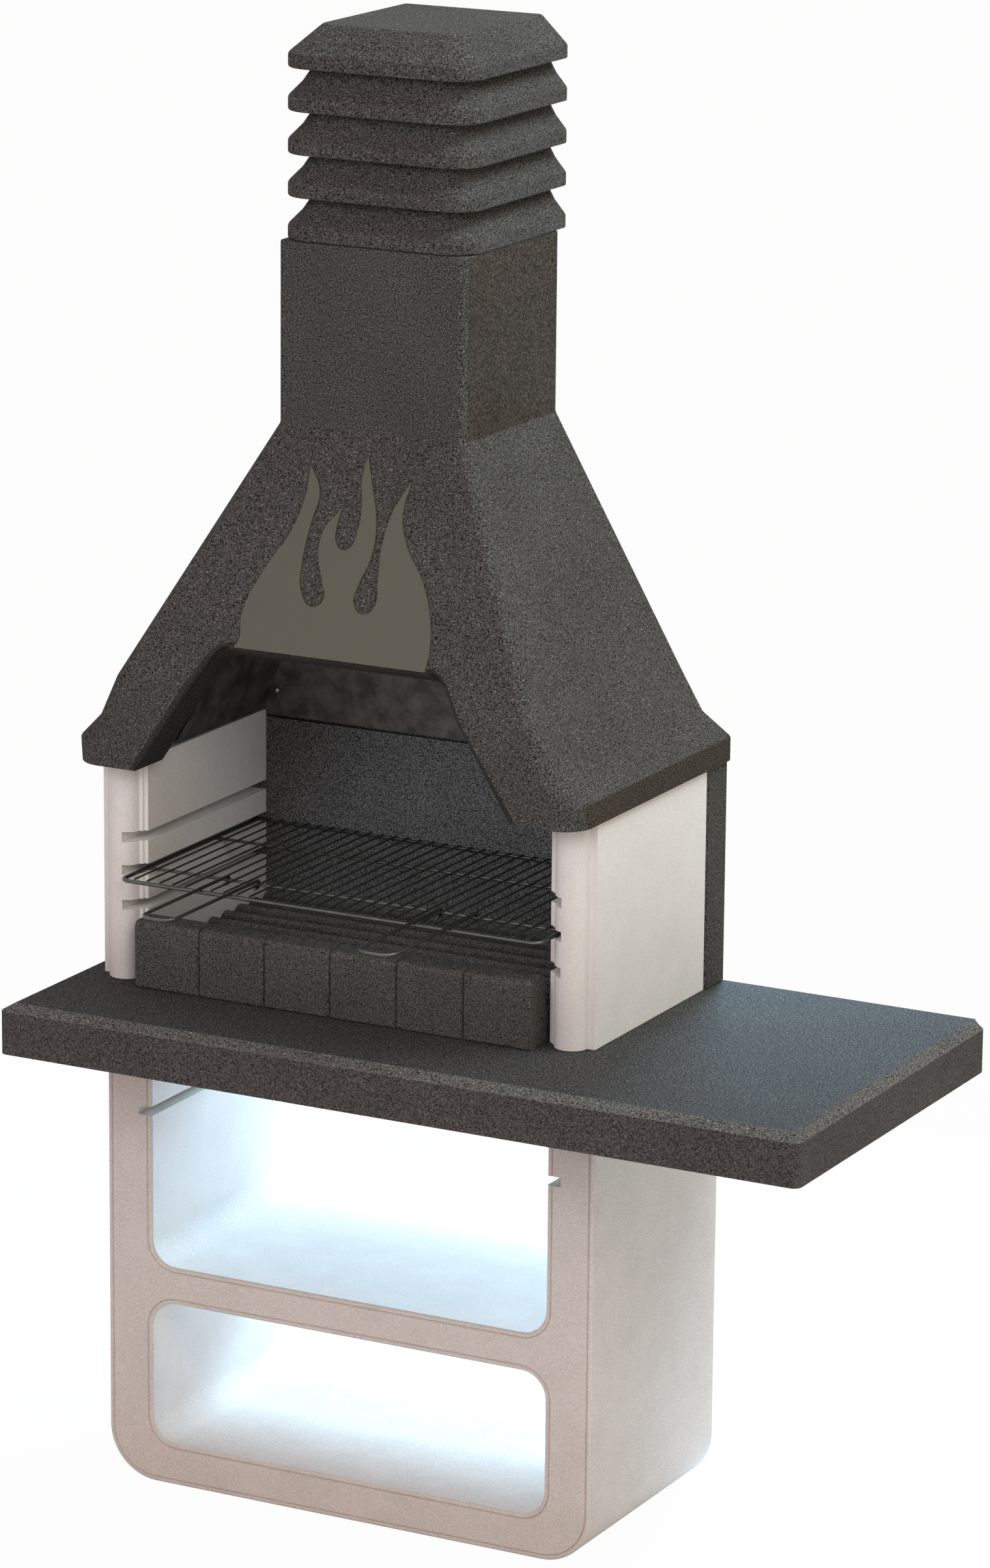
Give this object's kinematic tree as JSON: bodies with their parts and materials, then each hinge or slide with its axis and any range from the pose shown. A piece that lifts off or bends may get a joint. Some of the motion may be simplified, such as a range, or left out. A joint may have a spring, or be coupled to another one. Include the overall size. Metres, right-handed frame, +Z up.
{
  "type": "outdoor masonry barbecue",
  "caption": "Cast masonry barbecue on an open base, with a side worktop, a brick fire bed, a pull-out grill, a smoke hood and a ribbed chimney pot.",
  "frame": {"origin": "centre of the base's underside, on the ground", "axes": "+X right along the worktop, +Y back towards the rear panel, +Z up"},
  "size_m": [1.2945, 0.6523, 2.2178],
  "materials": {
    "white_cement": "matte",
    "fire_clay": "matte",
    "dark_concrete": "matte",
    "liner_steel": "satin",
    "painted_steel": "matte",
    "chromed_wire": "gloss"
  },
  "bodies": {
    "barbecue": {"base": "white_cement", "worktop": "dark_concrete", "wall_left": "white_cement", "wall_right": "white_cement", "back_panel": "dark_concrete", "firebrick_1": "fire_clay", "firebrick_2": "fire_clay", "firebrick_3": "fire_clay", "firebrick_4": "fire_clay", "firebrick_5": "fire_clay", "firebrick_6": "fire_clay", "hood": "dark_concrete", "liner_left": "liner_steel", "liner_right": "liner_steel", "liner_back": "liner_steel", "liner_rivet_1": "liner_steel", "liner_rivet_2": "liner_steel", "liner_rivet_3": "liner_steel", "liner_rivet_4": "liner_steel", "liner_rivet_5": "liner_steel", "liner_rivet_6": "liner_steel", "flame_plate": "painted_steel", "chimney_base_ring": "dark_concrete", "chimney_ring_1": "dark_concrete", "chimney_ring_2": "dark_concrete", "chimney_ring_3": "dark_concrete", "chimney_cap": "dark_concrete"},
    "grill": {"grill_frame": "chromed_wire", "grill_grid": "chromed_wire"},
    "left_handle": {"handle_left": "chromed_wire"},
    "right_handle": {"handle_right": "chromed_wire"}
  },
  "joints": [
    {"name": "grill_slide", "type": "slide", "parent": "barbecue", "child": "grill", "axis": [0, -1, 0], "range_m": [0, 0.3]},
    {"name": "left_handle_hinge", "type": "hinge", "parent": "grill", "child": "left_handle", "pos_m": [-0.18475, -0.1895, 0.9588], "axis": [-1, 0, 0], "range_deg": [0, 170]},
    {"name": "right_handle_hinge", "type": "hinge", "parent": "grill", "child": "right_handle", "pos_m": [0.17465, -0.1895, 0.9588], "axis": [-1, 0, 0], "range_deg": [0, 170]}
  ]
}
